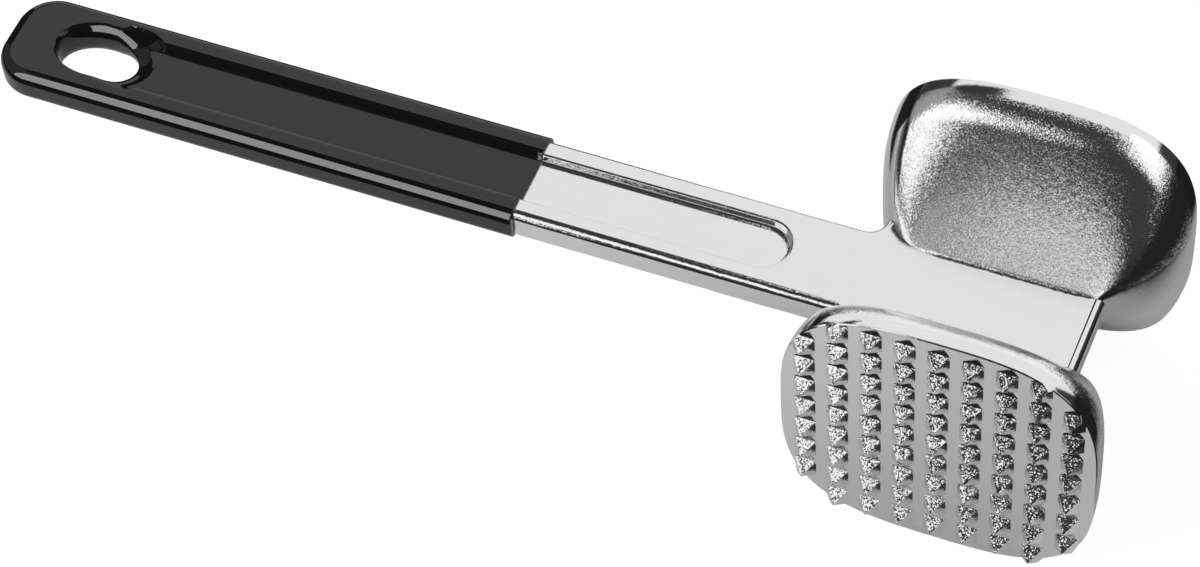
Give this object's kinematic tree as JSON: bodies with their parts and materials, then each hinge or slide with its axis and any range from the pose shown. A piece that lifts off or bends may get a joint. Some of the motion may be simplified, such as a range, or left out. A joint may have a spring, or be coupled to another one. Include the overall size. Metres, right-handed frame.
{
  "type": "meat mallet",
  "caption": "Cast aluminium meat mallet with a toothed and a smooth square striking face on a flat handle with a dipped vinyl grip and a hang hole.",
  "frame": {"origin": "centre of the smooth striking face, which is also half-way through the handle's thickness", "axes": "+X out of the head end along the handle (the grip is at -X), +Y out of the smooth striking face (the toothed face is at -Y), +Z square to the flat of the handle"},
  "size_m": [0.239, 0.0649, 0.0618],
  "materials": {
    "cast_aluminium": "tumbled satin casting, bright on the rims and sand-blasted on the sloping backs of the heads",
    "dipped_vinyl": "very glossy black dip coat with soft rounded edges"
  },
  "bodies": {
    "root": {"cast_body": "cast_aluminium", "grip_sleeve": "dipped_vinyl"}
  },
  "joints": []
}
